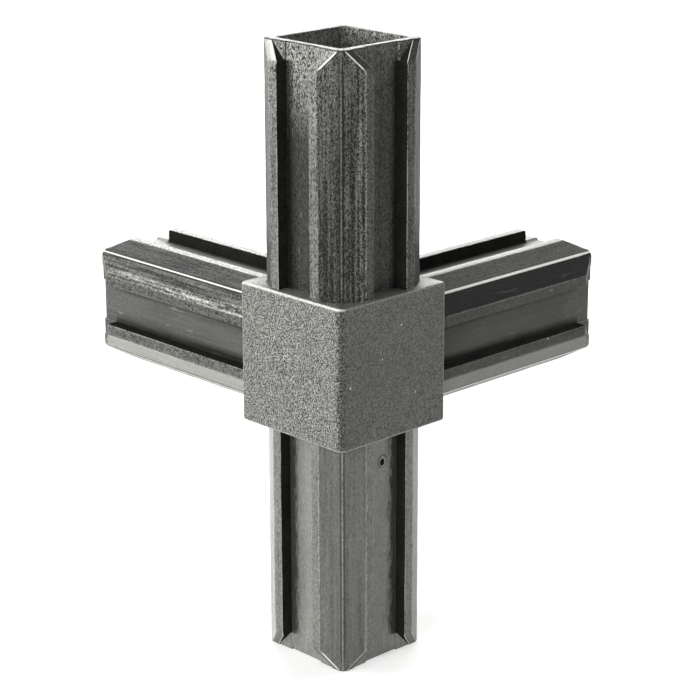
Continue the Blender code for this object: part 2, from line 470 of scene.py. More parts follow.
    @property
    def heights(self) -> np.ndarray:
        """Heights of the outer skin's rows, from the foot inside the hub to the rim's outer edge."""
        cove = self.shoulder + self.foot_fillet * (1 - np.cos(np.linspace(0, QUARTER, 5)))
        return np.concatenate([
            [self.floor - self.foot_depth, self.shoulder - self.foot_root],
            cove,
            np.linspace(self.shoulder + self.foot_root, self.tip - self.lead_in - 0.15, self.shaft_rows),
            self.tip - self.lead_in + np.array([-0.05, 0.05, 0.15]),
            np.linspace(self.tip - self.trim_length, self.tip - self.rim_outer_radius, self.tip_rows),
        ])

    def rim(self, last: np.ndarray, lean: np.ndarray, thick: np.ndarray) -> list[tuple[np.ndarray, float]]:
        """Rows over the rim: the outer quarter circle, two rows on the flat and the inner quarter circle.

        Args:
            last: The outer skin's last row.
            lean: Unit direction from each of its points across the wall.
            thick: The wall's thickness at each point.

        Returns:
            Each row with its height.
        """
        rows = []
        for angle in np.linspace(0, QUARTER, 6)[1:]:
            inset = self.rim_outer_radius * (1 - math.cos(angle))
            height = self.tip - self.rim_outer_radius + self.rim_outer_radius * math.sin(angle)
            rows.append((last + lean * inset, height))
        rows += [(last + lean * thick * share, self.tip) for share in (0.35, 0.65)]
        for angle in np.linspace(0, QUARTER, 5):
            inset = thick - self.rim_inner_radius * (1 - math.sin(angle))
            rows.append((last + lean * inset, self.tip - self.rim_inner_radius * (1 - math.cos(angle))))
        return rows

    def surface(self) -> Skin:
        """Builds the arm as one closed grid.

        Rows run from the middle of the foot out to the section, up the arm, over the rim and down the bore to the
        middle of its floor; each row is the section, or the bore's rounded square, at its height.

        Returns:
            The arm's surface, turned to its side of the hub.
        """
        heights = self.heights
        outer, columns = self.section(heights)
        inward = onto_square(outer, self.bore_half, self.bore_corner) - outer
        wall = np.linalg.norm(inward, axis=-1, keepdims=True)
        inward = inward / wall
        rise = np.clip((heights - self.shoulder) / self.foot_fillet, 0, 1)
        cove = self.foot_fillet * (1 - np.sqrt(1 - (1 - rise) ** 2))
        outer = outer - inward * (cove[:, None] + self.wave(heights, outer.shape[1]))[..., None]
        rows = [(outer[0] * 0, heights[0]), *zip(outer, heights)]
        skin_rows = len(rows)
        rows += self.rim(outer[-1], inward[-1], wall[-1])
        mouth = outer[-1] + inward[-1] * wall[-1]
        first_bore_row = len(rows)
        for depth in np.linspace(1.0, self.tip - self.floor, self.bore_rows):
            rows.append((mouth * (1 - self.bore_draft * depth / self.bore_half), self.tip - depth))
        rows += [(rows[-1][0] * share, self.floor) for share in (0.97, 0.6, 0.0)]
        flat = np.stack([row for row, _ in rows])
        level = np.array([height for _, height in rows])[:, None]
        masks = {mask: np.zeros(flat.shape[:2]) for mask in Mask}
        for mask, values in columns.items():
            masks[mask][1:skin_rows] = values
        masks[Mask.RUN][:] = np.clip((level - self.shoulder) / (self.tip - self.shoulder), 0, 1)
        # Rim: pale edges on its flat top, wear and painted highlight, and painted shade on its outer rounding.
        masks[Mask.EDGE][skin_rows + 5:first_bore_row - 3] = 0.3
        masks[Mask.RIDGE][skin_rows:skin_rows + 5] = 0.4
        masks[Mask.BORE][first_bore_row:] = 1
        sheet = np.concatenate([flat, np.broadcast_to(level[..., None], (*flat.shape[:2], 1))], axis=-1)
        return Skin.from_grid(sheet, masks).turned(self.side.turn)


@dataclass
class CubeHub(Part):
    """The hub: its outline is carried from the lower pocket over the rims and sides to the upper pocket.

    Args:
        piece: The piece's name.
        half: Half of the hub's side, and pocket_half of a pocket's.
        pocket_lines: Grid lines across a pocket, with one more a margin outside it on each side.
        upright_web: Height of the upright pockets' floors, and level_web distance of the side ones.
        sink: Depth of the dish in each plain face.
        corner_from: Distance from the middle plane at which the upper corners begin to pale with a painted
            reflection, over corner_fade.
    """

    piece: str = "hub"
    half: float = 12.5
    front_radius: float = 1.5
    upright_radius: float = 0.8
    rim_radius: float = 0.5
    pocket_half: float = 8.4
    pocket_corner: float = 0.6
    pocket_lines: int = 15
    margin: float = 0.1
    upright_web: float = 0.5
    level_web: float = 9.0
    sink: float = 0.05
    corner_from: float = 9.5
    corner_fade: float = 2.2

    @property
    def lines(self) -> np.ndarray:
        """Grid lines across a pocket, with one more just outside each side of it."""
        inner = np.linspace(-self.pocket_half, self.pocket_half, self.pocket_lines)
        return np.concatenate([[inner[0] - self.margin], inner, [inner[-1] + self.margin]])

    def outline(self) -> tuple[np.ndarray, np.ndarray]:
        """Outline of the hub and the outward direction at each of its points, anticlockwise.

        Returns:
            Points and unit directions, each as columns by two.
        """
        points, normals = [], []
        radii = (self.upright_radius, self.upright_radius, self.front_radius, self.upright_radius)
        for quarter, radius in enumerate(radii):
            before = radii[quarter - 1]
            side = np.concatenate([[-(self.half - before) * 0.92], self.lines, [(self.half - radius) * 0.92]])
            angles = np.linspace(0, QUARTER, 9)
            arc_normals = np.stack([np.cos(angles), np.sin(angles)], -1)
            points_here = np.concatenate([
                np.stack([np.full_like(side, self.half), side], -1),
                (self.half - radius) + radius * arc_normals,
            ])
            normals_here = np.concatenate([np.tile([1.0, 0.0], (len(side), 1)), arc_normals])
            turn = np.array([[math.cos(QUARTER * quarter), -math.sin(QUARTER * quarter)],
                             [math.sin(QUARTER * quarter), math.cos(QUARTER * quarter)]])
            points.append(points_here @ turn.T)
            normals.append(normals_here @ turn.T)
        return np.concatenate(points), np.concatenate(normals)

    def surface(self) -> Skin:
        """Builds the hub with four square pockets, in whose walls the arms stand.

        Each row is the outline moved inwards by the rim's quarter circle, at that circle's height. The plain faces
        sink towards their middle by s (1-u^2)(1-v^2), with u and v from -1 to 1 across the face.

        Returns:
            The hub's closed surface.
        """
        outline, normals = self.outline()
        pocket = onto_square(outline, self.pocket_half, self.pocket_corner)
        around = onto_square(outline, self.pocket_half + self.margin, self.pocket_corner)
        flat = self.half - self.rim_radius
        angles = np.linspace(0, QUARTER, 6)
        inset = self.rim_radius * (1 - np.sin(angles))
        rise = flat + self.rim_radius * np.cos(angles)
        sides = np.concatenate([[-flat + 0.3], self.lines, [flat - 0.3]])
        insets = np.concatenate([inset, np.zeros(len(sides)), inset[::-1]])
        heights = np.concatenate([-rise, sides, rise[::-1]])
        rings = outline[None] - normals[None] * insets[:, None, None]
        level = np.broadcast_to(heights[:, None, None], (*rings.shape[:2], 1))
        body = np.concatenate([rings, level], axis=-1)
        fade = np.clip(1 - (heights[:, None] / self.half) ** 2, 0, 1)
        small = np.abs(outline).min(axis=-1)[None, :]
        dish = self.sink * fade * np.clip(1 - (small / self.half) ** 2, 0, 1)
        plain = (normals @ np.array([-1.0, -1.0]))[None, :] > 0.9
        body[..., :2] -= normals[None] * (dish * plain)[..., None]
        inward = ((around, self.half), (pocket, self.half), (pocket, self.upright_web), (pocket * 0, self.upright_web))
        top = np.stack([np.column_stack([ring, np.full(len(ring), height)]) for ring, height in inward])
        sheet = np.concatenate([top[::-1] * [1, 1, -1], body, top])
        masks = self.masks(sheet, normals, insets, heights)
        self.sink_pockets(sheet)
        return Skin.from_grid(sheet, masks)

    def masks(self, sheet: np.ndarray, normals: np.ndarray, insets: np.ndarray, heights: np.ndarray) -> Masks:
        """Masks of the hub: its edges, for painted highlights; its front edge, for painted shade; its two coarser
        sides, the other two taking painted shade; and its upper corners, for a painted reflection.

        Args:
            sheet: Points of the whole grid.
            normals: Outward directions of the outline.
            insets: How far each row of the hub's body lies inside the outline.
            heights: Heights of those rows.

        Returns:
            Values as rows by columns for each mask.
        """
        masks = {mask: np.zeros(sheet.shape[:2]) for mask in (Mask.EDGE, Mask.GRAIN, Mask.FRONT, Mask.BAND)}
        rim = np.clip(insets / (0.2 * self.rim_radius), 0, 1) * np.clip((self.rim_radius * 1.01 - insets) * 9, 0, 1)
        upright = 1 - np.abs(normals).max(axis=-1)
        front = np.clip(2 * normals[:, 0] * normals[:, 1] * (normals[:, 0] < 0) * (normals[:, 1] < 0), 0, 1)
        # Painted highlights on the rims, most on the upper rim facing -X, and on the upright edges but the front one.
        rim_highlight = np.where(heights > 0, 0.08 + 0.92 * np.clip(-normals[None, :, 0], 0, 1).T, 0.5).T
        ends = (len(sheet) - len(heights)) // 2
        masks[Mask.EDGE][ends:-ends] = np.maximum(rim[:, None] * rim_highlight, (upright * (1 - front))[None, :] * 1.2)
        # Painted shade goes on the front edge.
        masks[Mask.FRONT][:] = front[None, :]
        # Coarser grain on the sides along X; the sides along Y take painted shade.
        masks[Mask.GRAIN][:] = (normals[:, 0] ** 2)[None, :]
        # Painted reflection on the upper corners at the left and right.
        aside = np.abs(sheet[..., 0] - sheet[..., 1]) / 2
        masks[Mask.BAND][:] = np.clip((aside - self.corner_from) / self.corner_fade, 0, 1)
        return masks

    def sink_pockets(self, sheet: np.ndarray) -> None:
        """Moves the grid's points within the side pockets' outlines in to the floors, and spreads them to the walls."""
        wall = self.pocket_half - self.margin
        spread = wall / (self.pocket_half * (1 - 2 / (self.pocket_lines - 1)))
        for axis, other in ((0, 1), (1, 0)):
            inside = (np.abs(sheet[..., other]) < wall) & (np.abs(sheet[..., 2]) < wall)
            inside &= sheet[..., axis] > self.half - self.margin
            sheet[inside, axis] = self.level_web
            sheet[inside, other] *= spread
            sheet[inside, 2] *= spread


@dataclass
class GateMark(Part):
    """Scar where the plastic entered the mould: a low ring round a shallow pit, on the lower arm's panel.

    The pit and a groove outside the ring are painted dark, a painted shade, and one side of the ring is painted
    pale, a painted highlight.

    Args:
        piece: The piece's name.
        across: Distance to the right of the arm's axis, and drop below the hub's centre.
        sag: How far the pit lies below the outer ring's centre.
        spread: Factor on the profile's radii, and stretch one more on its height.
    """

    piece: str = "gate_mark"
    across: float = 0.4
    drop: float = 17.8
    panel: float = 9.1
    sag: float = 0.42
    spread: float = 1.08
    stretch: float = 1.3
    columns: int = 40

    def surface(self) -> Skin:
        """Turns the scar's profile about the panel's normal, and closes it behind the panel's face.

        The ring is a little out of round.

        Returns:
            The scar's surface, with masks that paint shade in its pit and its groove and a highlight on its ring.
        """
        radius = np.array([0.0, 0.15, 0.3, 0.42, 0.5, 0.6, 0.7, 0.8, 0.9, 1.0, 1.1, 1.2, 0.0])
        height = np.array([0.02, 0.02, 0.02, 0.03, 0.12, 0.16, 0.13, 0.04, 0.02, 0.05, 0.03, -0.04, -0.2])
        # Painted shade in the pit, painted highlight on the ring's crest, painted shade in the groove.
        pit = np.array([1, 1, 1, 0.9, 0, 0, 0, 0, 0, 0, 0, 0, 0])
        crest = np.array([0, 0, 0, 0, 1, 1, 0.9, 0, 0, 0.9, 0.5, 0, 0])
        groove = np.array([0, 0, 0, 0, 0, 0, 0, 0.4, 0.4, 0, 0, 0, 0])
        angle = np.linspace(0, 2 * math.pi, self.columns, endpoint=False)
        ring = self.spread * radius[:, None] * (1 + 0.07 * np.sin(2 * angle + 0.6) + 0.03 * np.sin(5 * angle))
        bump = height[:, None] * (1 + 0.35 * np.sin(angle + 2.2) * (radius[:, None] > 0.35))
        x = self.across + ring * np.cos(angle)
        z = -self.drop + ring * np.sin(angle) * self.stretch - self.sag * (1 - radius[:, None] / radius.max())
        y = -(self.panel + bump)
        sheet = np.stack([x, y, z], -1)[:, ::-1]
        zero = np.zeros(sheet.shape[:2])
        masks = {mask: zero for mask in Mask}
        masks[Mask.RECESS] = np.broadcast_to(pit[:, None], zero.shape)
        masks[Mask.EDGE] = crest[:, None] * (0.65 + 0.45 * np.sin(angle + 2.4)[None, ::-1])
        masks[Mask.RIDGE] = np.broadcast_to(groove[:, None], zero.shape)
        return Skin.from_grid(sheet, masks)


class Facing(Enum):
    """Way a surface looks: an axis, and the range of the normal's part along it in which a tone passes to another."""

    HUB_TOP = ("Z", 0.8, 0.98)
    HUB_FLAT_TOP = ("Z", 0.9, 0.99)
    STRAIGHT_UP = ("Z", 0.93, 0.98)
    NOT_STRAIGHT_UP = ("Z", 0.97, 0.9)
    UPWARD = ("Z", 0.3, 0.5)
    NEARLY_UP = ("Z", 0.6, 0.78)
    DOWNWARD = ("Z", -0.3, -0.5)
    PLUS_X = ("X", 0.2, 0.3)
    MINUS_X = ("X", -0.2, -0.3)
    PLUS_Y = ("Y", 0.2, 0.3)
    MINUS_Y = ("Y", -0.2, -0.3)


class Wire:
    """A node's output. Sums, products and ranges of it are new nodes of the same tree."""

    def __init__(self, tree: NodeTree, socket: NodeSocket) -> None:
        """Keeps the tree and the output."""
        self.tree, self.socket = tree, socket

    def into(self, kind: str, values: dict[str | int, "float | Wire"], operation: str | None = None) -> "Wire":
        """Adds a node with the given values of its inputs, numbers or wires, and gives its first output."""
        node = self.tree.nodes.new("ShaderNode" + kind)
        if operation is not None:
            node.operation = operation
        for name, value in values.items():
            put(node.inputs[name], value)
        return Wire(self.tree, node.outputs[0])

    def math(self, operation: str, first: "float | Wire", second: "float | Wire") -> "Wire":
        """One arithmetic operation on numbers or wires."""
        return self.into("Math", {0: first, 1: second}, operation)

    def __mul__(self, other: "float | Wire") -> "Wire":
        """Product with a number or a wire."""
        return self.math("MULTIPLY", self, other)

    def __rmul__(self, other: float) -> "Wire":
        """Product of a number and the wire."""
        return self.math("MULTIPLY", other, self)

    def __add__(self, other: "float | Wire") -> "Wire":
        """Sum with a number or a wire."""
        return self.math("ADD", self, other)

    def __radd__(self, other: float) -> "Wire":
        """Sum of a number and the wire."""
        return self.math("ADD", other, self)

    def __pow__(self, other: float) -> "Wire":
        """Power of the wire."""
        return self.math("POWER", self, other)

    def __abs__(self) -> "Wire":
        """The wire without its sign."""
        return self.math("ABSOLUTE", self, 0.0)

    def most(self, other: "float | Wire") -> "Wire":
        """The larger of the wire and something else."""
        return self.math("MAXIMUM", self, other)

    def span(self, low: float, high: float, to_low: float = 0.0, to_high: float = 1.0) -> "Wire":
        """Maps low..high to a new range, without going past its ends."""
        ends = {"From Min": low, "From Max": high, "To Min": to_low, "To Max": to_high}
        return self.into("MapRange", {"Value": self, **ends})

    def mix(self, first: "float | Wire", second: "float | Wire") -> "Wire":
        """Number between two others: the first where the wire is 0, the second where it is 1."""
        return self.into("Mix", {0: self, 2: first, 3: second})


def put(socket: NodeSocket, value: object) -> None:
    """Links a socket to a wire, or sets it to a plain value."""
    if isinstance(value, Wire):
        value.tree.links.new(value.socket, socket)
    else:
        socket.default_value = value


class Shader:
    """A material under construction, with short calls for what the finishes use."""

    def __init__(self, name: str) -> None:
        """Starts a node material of that name with a Principled surface."""
        self.material = bpy.data.materials.new(name)
        self.material.use_nodes = True
        self.tree = self.material.node_tree
        self.surface = self.tree.nodes["Principled BSDF"].inputs
        self.place = self.output("TexCoord", "Object")
        self.facing = self.output("TexCoord", "Normal")

    def output(self, kind: str, name: str) -> Wire:
        """One output of a new node that has no inputs to set."""
        return Wire(self.tree, self.tree.nodes.new("ShaderNode" + kind).outputs[name])

    def noise(self, rates: Triple, shift: Triple, detail: float, rough: float = 0.5) -> Wire:
        """Noise from 0 to 1, with its own rate and shift along each axis."""
        vector = self.place.into("Mapping", {"Vector": self.place, "Scale": rates, "Location": shift})
        return vector.into("TexNoise", {"Vector": vector, "Scale": 1.0, "Detail": detail, "Roughness": rough})

    def ripple(self, rates: Triple, shift: float, detail: float = 2.0, half: float = 0.2) -> Wire:
        """Noise turned into a number from -1 to 1."""
        noise = self.noise(rates, (shift, shift * 0.7, shift * 1.9), detail, 0.55)
        return noise.span(0.5 - half, 0.5 + half, -1.0, 1.0)

    def even(self, rate: float, shift: float, detail: float = 1.0, half: float = 0.2) -> Wire:
        """A ripple with one rate along all axes."""
        return self.ripple((rate,) * 3, shift, detail, half)

    def looks(self, axis: str) -> Wire:
        """How far the surface looks along an axis, from -1 to 1."""
        split = self.tree.nodes.new("ShaderNodeSeparateXYZ")
        put(split.inputs["Vector"], self.facing)
        return Wire(self.tree, split.outputs[axis])

    def faces(self, facing: Facing, to_low: float = 0.0, to_high: float = 1.0) -> Wire:
        """Passes from one number to another where the surface comes to face a named way."""
        axis, start, end = facing.value
        return self.looks(axis).span(start, end, to_low, to_high)

    def mask(self, mask: Mask) -> Wire:
        """Value that the mesh stores for one of its masks."""
        wire = self.output("Attribute", "Fac")
        wire.socket.node.attribute_name = mask.value
        return wire

    def specked(self, tone: Wire, spacing: float, share: float) -> Wire:
        """Puts bright specks on a tone: small discs in a share of the cells of a pattern, spacing metres wide."""
        cells = self.place.into("TexVoronoi", {"Vector": self.place, "Scale": 1.0 / spacing})
        colour = Wire(self.tree, cells.socket.node.outputs["Color"])
        chosen = self.place.math("LESS_THAN", colour.into("SeparateColor", {"Color": colour}), share)
        disc = cells.span(SPECK_SIZE * 0.6, SPECK_SIZE, 1.0, 0.0)
        return (disc * chosen).mix(tone, SPECK_TONE)

    def bump(self, height: Wire, distance: float, strength: float, **under: Wire) -> Wire:
        """Normal bent by a height, which stands for a real distance in metres, over another Normal if given."""
        return height.into("Bump", {"Strength": strength, "Distance": distance, "Height": height, **under})

    def finish(self, tone: Wire, roughness: Wire, normal: Wire, specular: float) -> Material:
        """Joins the results to the surface: the plastic is grey with a little less blue."""
        colour = tone.into("CombineColor", {0: tone, 1: tone * 1.01, 2: tone * 0.93})
        for name, value in (("Base Color", colour), ("Roughness", roughness), ("Normal", normal),
                            ("Specular IOR Level", specular)):
            put(self.surface[name], value)
        return self.material


@dataclass(frozen=True)
class SparkGrain:
    """Finish of the hub: grey plastic with the fine grain of a spark-eroded mould, with painted light and shade.

    Args:
        name: The material's name.
        tone: Share of light that the sides along X throw back; front, top and aside are factors on it that paint
            shade on the front edge, on the top and on the sides along Y.
        edge_tone: Tone of the pale edges, a painted highlight, and corner_reflection_tone of the upper corners, a
            painted reflection.
        contrast: Contrast of the grain, with the factor calm on the sides along Y.
        grain_rate: Rate of the fine grain, per metre.
    """

    name: str = "hub_grained_plastic"
    tone: float = 0.194
    edge_tone: float = 0.95
    front: float = 0.45
    top: float = 0.6
    aside: float = 0.67
    calm: float = 0.45
    corner_reflection_tone: float = 0.50
    contrast: float = 1.35
    grain_rate: float = 3800.0
    roughness: float = 0.5
    specular: float = 0.25

    def material(self) -> Material:
        """Multiplies the tone by grain, which is coarser on two of the sides, paints shade on the front edge, the top
        and the sides along Y, and pales the edges in patches as a painted highlight and the upper corners as a
        painted reflection.
        """
        shader = Shader(self.name)
        fine = shader.even(self.grain_rate, 1.3, half=0.15)
        coarse = shader.even(self.grain_rate / 2, 4.1, half=0.18)
        cloud = shader.even(110, 7.7, 3.0)
        front, along_x = shader.mask(Mask.FRONT), shader.mask(Mask.GRAIN)
        contrast = along_x.mix(self.calm, 1.0) * cloud.span(-1, 1, 0.7, 1.15) * front.mix(1.0, 1.6) * self.contrast
        grain = (fine * 0.9 + coarse * 0.33) * contrast
        texture = 1.0 + grain + cloud * 0.06
        # Painted shade on the front edge.
        tone = self.tone * texture.most(DARKEST) * front.mix(1.0, self.front)
        # Painted shade on the top and on the sides along Y.
        tone = tone * shader.faces(Facing.HUB_TOP, 1.0, self.top) * along_x.mix(self.aside, 1.0)
        # Painted reflection on the upper corners, and painted highlight on the edges.
        corners = shader.faces(Facing.HUB_FLAT_TOP) * shader.mask(Mask.BAND) * coarse.span(-0.8, 0.2, 0.5, 1.0)
        edge_wear_and_highlight = shader.mask(Mask.EDGE) * coarse.span(-0.6, 0.4, 0.7, 1.0)
        tone = edge_wear_and_highlight.mix(corners.mix(tone, self.corner_reflection_tone), self.edge_tone)
        rough = self.roughness + grain * 0.05
        bent = shader.bump(grain, 0.00005, 0.8)
        return shader.finish(shader.specked(tone, 0.0040, 0.2), rough, bent, self.specular)


@dataclass(frozen=True)
class DeepShade:
    """Finish of the ribs' inner walls and the gate mark's pit: the same plastic, dull, with painted shade."""

    name: str = "rib_wall_painted_shade"
    tone: float = 0.022
    roughness: float = 0.8
    specular: float = 0.0

    def material(self) -> Material:
        """Multiplies the tone by soft clouds and fine grain."""
        shader = Shader(self.name)
        fine, cloud = shader.even(2400, 2.2), shader.even(240, 5.1, 2.0)
        tone = self.tone * (1.0 + fine * 0.25 + cloud * 0.2)
        return shader.finish(tone, self.roughness + fine * 0.06, shader.bump(fine, 0.00002, 0.5), self.specular)


@dataclass(frozen=True)
class Ripples:
    """Noises of an arm's finish, each from -1 to 1."""

    bead: Wire
    streak: Wire
    patch: Wire
    wide: Wire
    cloud: Wire


@dataclass(frozen=True)
class FlowStreaked:
    """Finish of an arm: plastic with flow streaks along the arm, pale lands, pale arrises and a mottled tip.

    Tones are the share of light that the plastic throws back. Pairs of tones hold the one of sides that look along X
    and the one of sides that look along Y. The sides, the facets that look up or down or lie at the outline, the
    lands and the four arms take tones that differ as the light fell on them: painted light and shade. The pale
    arrises are a painted highlight.

    Args:
        side: The arm.
        facet: Tones of the facets, panel of the sunk faces, land of the flat lands and top of faces that look up.
        over: Tones of steep and of flatter facets that look upwards, and under tone of those that look down.
        edge: Tone of the pale edges, wear and painted highlight, and cut of the trimmed ends, a painted highlight.
        slope: Factors on the lands' tone over the lead-in, painted light and shade.
        arris: Tone of the painted highlight along the corners' ridges, then its strength, its breaks and where it
            starts.
        facet_grain: Contrast of the beads on the facets, and streak of the flow streaks.
        band: Strength of the pale band at foot and tip, a painted highlight, and mottle of the pale mottle at the tip.
        beads: Shares of fine and of coarse beads.
        far: Factors on the facets at the arm's left and right outline, painted light and shade.
        shadow_reach: Reach at foot and tip of the shade beside the rib walls, whose border shadow_rag tears.
    """

    side: ArmSide
    facet: Pair
    panel: Pair
    land: Pair
    over: Pair
    under: float
    edge: float
    slope: Pair
    arris: float
    arris_share: float
    arris_break: float
    arris_from: float
    facet_grain: float
    panel_grain: float
    land_grain: float
    streak: float
    band: Pair
    mottle: float
    beads: Pair = (0.65, 0.5)
    far: Pair = (1.0, 1.0)
    shadow_reach: Pair = (1.0, 1.0)
    shadow_rag: float = 0.12
    top: float = 0.6
    cut: float = 1.0
    specular: float = 0.15
    roughness: float = 0.42

    def along(self, across_rate: float, along_rate: float) -> Triple:
        """Rates for a pattern that is drawn out along the arm."""
        axis = int(np.argmax(np.abs(self.side.turn[:, 2])))
        rates = [across_rate] * 3
        rates[axis] = along_rate
        return tuple(rates)

    def ripples(self, shader: Shader) -> Ripples:
        """Adds the finish's noises."""
        fine = shader.ripple(self.along(4300, 2800), 1.1, 1.0, 0.15)
        coarse = shader.ripple(self.along(2300, 1500), 4.4, 1.0, 0.18)
        return Ripples(bead=fine * self.beads[0] + coarse * self.beads[1],
                       streak=shader.ripple(self.along(1900, 50), 3.7, 2.0, 0.13),
                       patch=shader.ripple(self.along(2400, 450), 9.4, 2.0, 0.16),
                       wide=shader.ripple(self.along(330, 18), 8.3), cloud=shader.even(90, 6.1, 3.0))

    def part_tone(self, shader: Shader, under: Wire) -> Wire:
        """Tone of each part of the arm, without texture, with painted light and shade by side, facing and outline.

        Args:
            shader: The material under construction.
            under: How far a point is on a facet that looks down.

        Returns:
            The tone.
        """
        facet, land = shader.mask(Mask.FACET), shader.mask(Mask.LAND)
        # Painted light and shade: the sides along X and along Y take their own tones.
        along_x = abs(shader.looks("X")).span(0.6, 0.75)
        tone = facet.mix(along_x.mix(*self.panel[::-1]), along_x.mix(*self.facet[::-1]))
        # Painted light and shade: facets that look upwards and downwards take their own tones.
        over = facet * shader.faces(Facing.UPWARD) * shader.faces(Facing.NOT_STRAIGHT_UP)
        tone = over.mix(tone, shader.faces(Facing.NEARLY_UP).mix(*self.over))
        tone = under.mix(tone, self.under)
        # Painted light and shade on the facets at the arm's left and right outline.
        if self.side.upright:
            left = facet * shader.faces(Facing.PLUS_Y) * shader.faces(Facing.MINUS_X)
            right = facet * shader.faces(Facing.PLUS_X) * shader.faces(Facing.MINUS_Y)
            tone = tone * left.mix(1.0, self.far[0]) * right.mix(1.0, self.far[1])
        # Painted light and shade on the lands over the lead-in, by side.
        slope = shader.mask(Mask.RUN).span(0.91, 0.93).mix(1.0, along_x.mix(*self.slope[::-1]))
        tone = land.mix(tone, along_x.mix(*self.land[::-1]) * slope)
        # Painted light: faces that look straight up take their own tone, less where shade is painted.
        flat_top = shader.faces(Facing.STRAIGHT_UP) * shader.mask(Mask.RECESS).span(0.3, 0.9, 1.0, 0.3)
        return flat_top.mix(tone, self.top)

    def grain(self, shader: Shader) -> Wire:
        """Contrast of the beads on panels, facets and lands."""
        panels = shader.mask(Mask.FACET).mix(self.panel_grain, self.facet_grain)
        return shader.mask(Mask.LAND).mix(panels, self.land_grain)

    def textured(self, shader: Shader, ripples: Ripples) -> Wire:
        """Tone of each part times its grain and streaks, with the pale band of painted highlight, the tip's mottle and
        pale dashes.

        Args:
            shader: The material under construction.
            ripples: The finish's noises.

        Returns:
            The tone.
        """
        bead, facet, run = ripples.bead, shader.mask(Mask.FACET), shader.mask(Mask.RUN)
        under = facet * shader.faces(Facing.DOWNWARD)
        beads = bead * (self.grain(shader) * under.mix(1.0, 0.2))
        streak = ripples.streak * self.streak * facet.mix(0.2, 1.0) * under.mix(1.0, 0.12)
        texture = (1.0 + beads + streak + ripples.wide * under.mix(0.16, 0.04)).most(DARKEST)
        tone = self.part_tone(shader, under) * texture * (1.0 + ripples.cloud * 0.08)
        # Painted highlight: the pale band on the facets at foot and tip.
        band = shader.mask(Mask.BAND).span(0.22, 0.4) * run.mix(*self.band)
        tone = tone * (1.0 + band * (0.8 + ripples.patch * 0.65 + bead * 0.2))
        tip = (run.span(0.62, 0.98) * facet.mix(1.0, 0.3) * shader.mask(Mask.LAND).mix(1.0, 0.4)
               * abs(shader.looks("X")).span(0.5, 0.9, 0.12, 1.0) * self.mottle
               * ripples.cloud.span(-0.9, 0.5, 0.4, 1.0) * shader.mask(Mask.BORE).mix(1.0, 0.3)
               * bead.span(-0.7, 0.9, 0.0, 0.125))
        dash = shader.noise(self.along(1500, 260), (5.5, 1.2, 2.6), 1.0).span(0.70, 0.76)
        return tone + tip + dash * facet.mix(1.0, 0.3) * 0.10

    def edged(self, shader: Shader, tone: Wire, ripples: Ripples) -> tuple[Wire, Wire]:
        """Pales the edges, wear and painted highlight, paints shade as a dark line beside each corner's ridge and
        paints a highlight along that ridge.

        Args:
            shader: The material under construction.
            tone: Tone without the edges.
            ripples: The finish's noises.

        Returns:
            The tone, and how far a point is on the ridge's painted highlight.
        """
        ridge, start = shader.mask(Mask.RIDGE), self.arris_from
        tip = shader.mask(Mask.RUN).span(0.90, 0.93)
        # Pale edges, wear and painted highlight; at the tip the cut tone, a painted highlight.
        edge_wear_and_highlight = shader.mask(Mask.EDGE) ** 2.0 * (ripples.bead + ripples.streak).span(-0.9, 0.9, 0.1, 0.9).most(tip)
        tone = edge_wear_and_highlight.mix(tone, tip.mix(self.edge, self.cut))
        # Painted shade beside the ridge's highlight, on the rims' outer rounding and in the gate mark's groove.
        ridge_shade = ridge.span(0.12, 0.24) * ridge.span(start + 0.06, start - 0.04)
        tone = tone * (ridge_shade * self.arris_share).mix(1.0, 0.15)
        # Painted highlight along the ridge, with breaks.
        unbroken = ripples.bead.span(-0.8, 0.4, 1.0 - self.arris_break, 1.0)
        ridge_highlight = ridge.span(start, start + 0.1) * self.arris_share * unbroken
        return ridge_highlight.mix(tone, self.arris), ridge_highlight

    def material(self) -> Material:
        """Joins the textured tone with the shade beside the rib walls, the painted light inside the bore, the edges,
        specks and the relief.
        """
        shader = Shader(self.side.piece + "_plastic")
        ripples, recess = self.ripples(shader), shader.mask(Mask.RECESS)
        ragged = (ripples.patch + ripples.bead) * self.shadow_rag
        shadow = (recess * shader.mask(Mask.RUN).mix(*self.shadow_reach) + ragged).span(0.2, 0.62, 1.0, 0.16)
        # Painted shade beside the rib walls, and painted light inside the bore.
        tone = self.textured(shader, ripples) * shadow * shader.mask(Mask.BORE).mix(1.0, 1.9)
        tone, ridge_highlight = self.edged(shader, tone, ripples)
        rough = (self.roughness + ripples.streak * 0.05 + recess * 0.2) * ridge_highlight.mix(1.0, 0.35)
        beaded = shader.bump(ripples.bead * self.grain(shader), 0.00005, 0.8)
        normal = shader.bump(ripples.streak * self.streak, 0.00003, 0.6, Normal=beaded)
        return shader.finish(shader.specked(tone, 0.0048, 0.18), rough, normal, self.specular)


